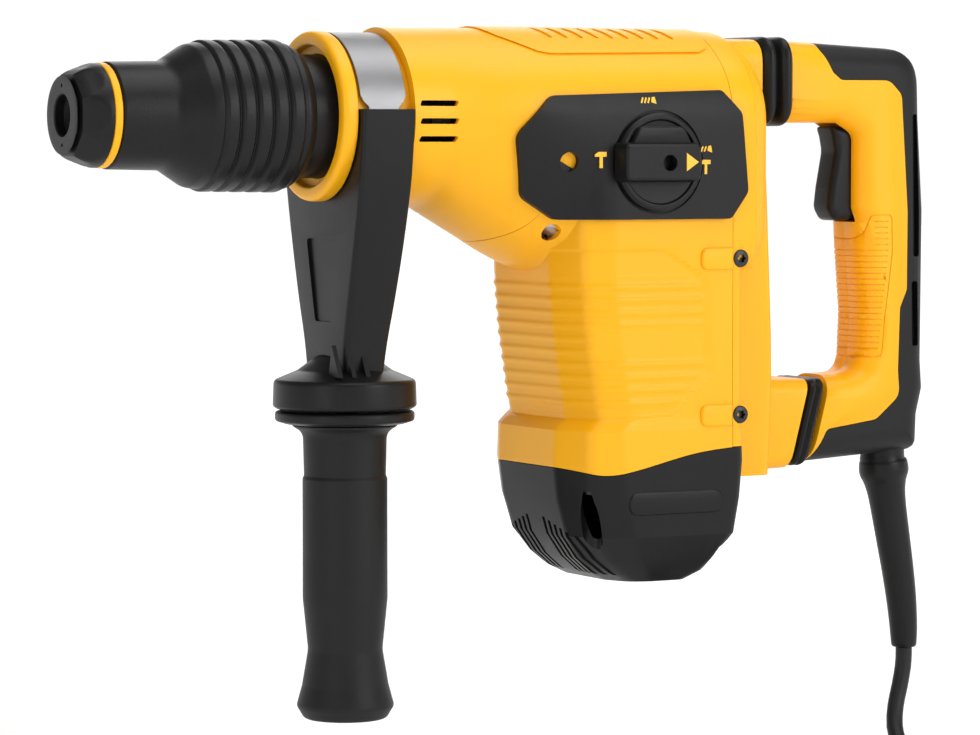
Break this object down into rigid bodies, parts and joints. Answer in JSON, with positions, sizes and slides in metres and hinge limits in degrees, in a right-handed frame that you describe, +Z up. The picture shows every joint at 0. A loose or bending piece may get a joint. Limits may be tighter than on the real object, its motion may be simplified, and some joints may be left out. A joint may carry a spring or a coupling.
{
  "type": "combination hammer",
  "caption": "Corded combination hammer with a ribbed locking sleeve, round side handle, upright motor housing, mode selector knob and a sprung D-shaped rear handle with trigger.",
  "frame": {"origin": "middle of the rear grip, on the tool's middle plane, 62 mm below the hammer axis and 432 mm behind the nose", "axes": "+X from the nose to the rear along the hammer axis, +Y across towards the side without the mode selector, +Z up"},
  "size_m": [0.4567, 0.1585, 0.3884],
  "materials": {
    "yellow_plastic": "satin moulded, fine grain",
    "black_plastic": "satin moulded",
    "black_rubber": "matt soft-touch",
    "bright_steel": "ground and brushed",
    "dark_steel": "hardened, dark",
    "cast_plate": "die cast",
    "copper": "wound and varnished",
    "carbon": "pressed carbon"
  },
  "bodies": {
    "rear_handle": {"handle_left_shell": "yellow_plastic", "handle_right_shell": "yellow_plastic", "grip_overmould": "black_rubber", "power_switch": "black_plastic", "strain_relief": "black_rubber", "damper_rod": "bright_steel", "power_cord": "black_rubber", "cord_coil": "black_rubber", "mains_plug": "black_plastic"},
    "hammer_body": {"gear_housing": "yellow_plastic", "collar_ring": "yellow_plastic", "vent_cover": "yellow_plastic", "selector_plate": "black_plastic", "motor_housing": "yellow_plastic", "motor_cap": "black_plastic", "gearbox_plate": "cast_plate", "rear_cover": "yellow_plastic", "front_barrel": "black_plastic", "spindle_seal": "black_rubber", "spindle_bearing_front": "bright_steel", "spindle_bearing_rear": "bright_steel", "crank_bearing": "bright_steel", "drive_shaft_bearing": "bright_steel", "upper_motor_bearing": "bright_steel", "lower_motor_bearing": "bright_steel", "stator": "dark_steel", "carbon_brush_left": "carbon", "carbon_brush_right": "carbon", "upper_bellows": "black_rubber", "lower_gaiter": "black_rubber", "damper_spring": "bright_steel"},
    "trigger": {"trigger": "black_plastic"},
    "selector": {"selector_knob": "black_plastic"},
    "spindle": {"tool_holder": "bright_steel", "nose_cap": "black_rubber", "nose_ring": "yellow_plastic", "lock_roller_upper": "dark_steel", "lock_roller_lower": "dark_steel", "hammer_cylinder": "bright_steel", "bevel_ring_gear": "dark_steel", "lock_spring": "bright_steel"},
    "sleeve": {"locking_sleeve": "black_rubber"},
    "crank": {"crankshaft": "dark_steel"},
    "drive": {"drive_shaft": "dark_steel"},
    "armature": {"armature_shaft": "bright_steel", "armature_core": "copper", "commutator": "copper", "cooling_fan": "black_plastic"},
    "piston": {"piston": "bright_steel", "wrist_pin": "bright_steel"},
    "rod": {"connecting_rod": "bright_steel"},
    "ram": {"ram": "bright_steel"},
    "beater": {"beat_piece": "bright_steel"},
    "side_handle": {"handle_yoke": "black_plastic", "clamp_band": "bright_steel", "clamp_nut": "bright_steel", "clamp_rod": "bright_steel", "clamp_disc": "black_rubber"},
    "side_grip": {"side_grip": "black_rubber"}
  },
  "joints": [
    {"name": "handle_float", "type": "slide", "parent": "rear_handle", "child": "hammer_body", "axis": [1, 0, 0], "range_m": [0, 0.005], "stiffness_N_per_m": 6000, "deforming": ["upper_bellows", "lower_gaiter", "damper_spring"]},
    {"name": "trigger_pull", "type": "hinge", "parent": "rear_handle", "child": "trigger", "pos_m": [-0.02, 0, 0.056], "axis": [0, -1, 0], "range_deg": [0, 7], "stiffness_Nm_per_rad": 1.5, "springref_deg": -5.73},
    {"name": "selector_turn", "type": "hinge", "parent": "hammer_body", "child": "selector", "pos_m": [-0.1565, -0.053, 0.041], "axis": [0, -1, 0], "range_deg": [0, 180]},
    {"name": "spindle_spin", "type": "hinge", "parent": "hammer_body", "child": "spindle", "pos_m": [-0.372, 0, 0.062], "axis": [1, 0, 0], "continuous": true},
    {"name": "sleeve_pull", "type": "slide", "parent": "spindle", "child": "sleeve", "axis": [1, 0, 0], "range_m": [0, 0.008], "stiffness_N_per_m": 1800, "springref_m": -0.003, "deforming": ["lock_spring"]},
    {"name": "crank_spin", "type": "hinge", "parent": "hammer_body", "child": "crank", "pos_m": [-0.185, 0, 0.032], "axis": [0, 0, 1], "continuous": true},
    {"name": "drive_shaft_spin", "type": "hinge", "parent": "hammer_body", "child": "drive", "pos_m": [-0.2125, 0, 0.022], "axis": [0, 0, 1], "continuous": true},
    {"name": "armature_spin", "type": "hinge", "parent": "hammer_body", "child": "armature", "pos_m": [-0.15, 0, -0.038], "axis": [0, 0, 1], "continuous": true},
    {"name": "piston_slide", "type": "slide", "parent": "hammer_body", "child": "piston", "axis": [1, 0, 0], "range_m": [-0.028, 0]},
    {"name": "rod_swing", "type": "hinge", "parent": "piston", "child": "rod", "pos_m": [-0.229, 0, 0.062], "axis": [0, 0, 1], "range_deg": [-14, 14]},
    {"name": "ram_slide", "type": "slide", "parent": "hammer_body", "child": "ram", "axis": [1, 0, 0], "range_m": [0, 0.03]},
    {"name": "beat_piece_slide", "type": "slide", "parent": "hammer_body", "child": "beater", "axis": [1, 0, 0], "range_m": [-0.004, 0]},
    {"name": "side_handle_swing", "type": "hinge", "parent": "hammer_body", "child": "side_handle", "pos_m": [-0.2927, 0, 0.062], "axis": [1, 0, 0], "range_deg": [-180, 180]},
    {"name": "side_grip_turn", "type": "hinge", "parent": "side_handle", "child": "side_grip", "pos_m": [-0.2927, 0, -0.138], "axis": [0, 0, 1], "range_deg": [0, 360]}
  ],
  "couplings": [
    {"joint": "armature_spin", "follows": "crank_spin", "ratio": -6},
    {"joint": "drive_shaft_spin", "follows": "crank_spin", "ratio": -0.57143},
    {"joint": "spindle_spin", "follows": "crank_spin", "ratio": 0.19048}
  ]
}
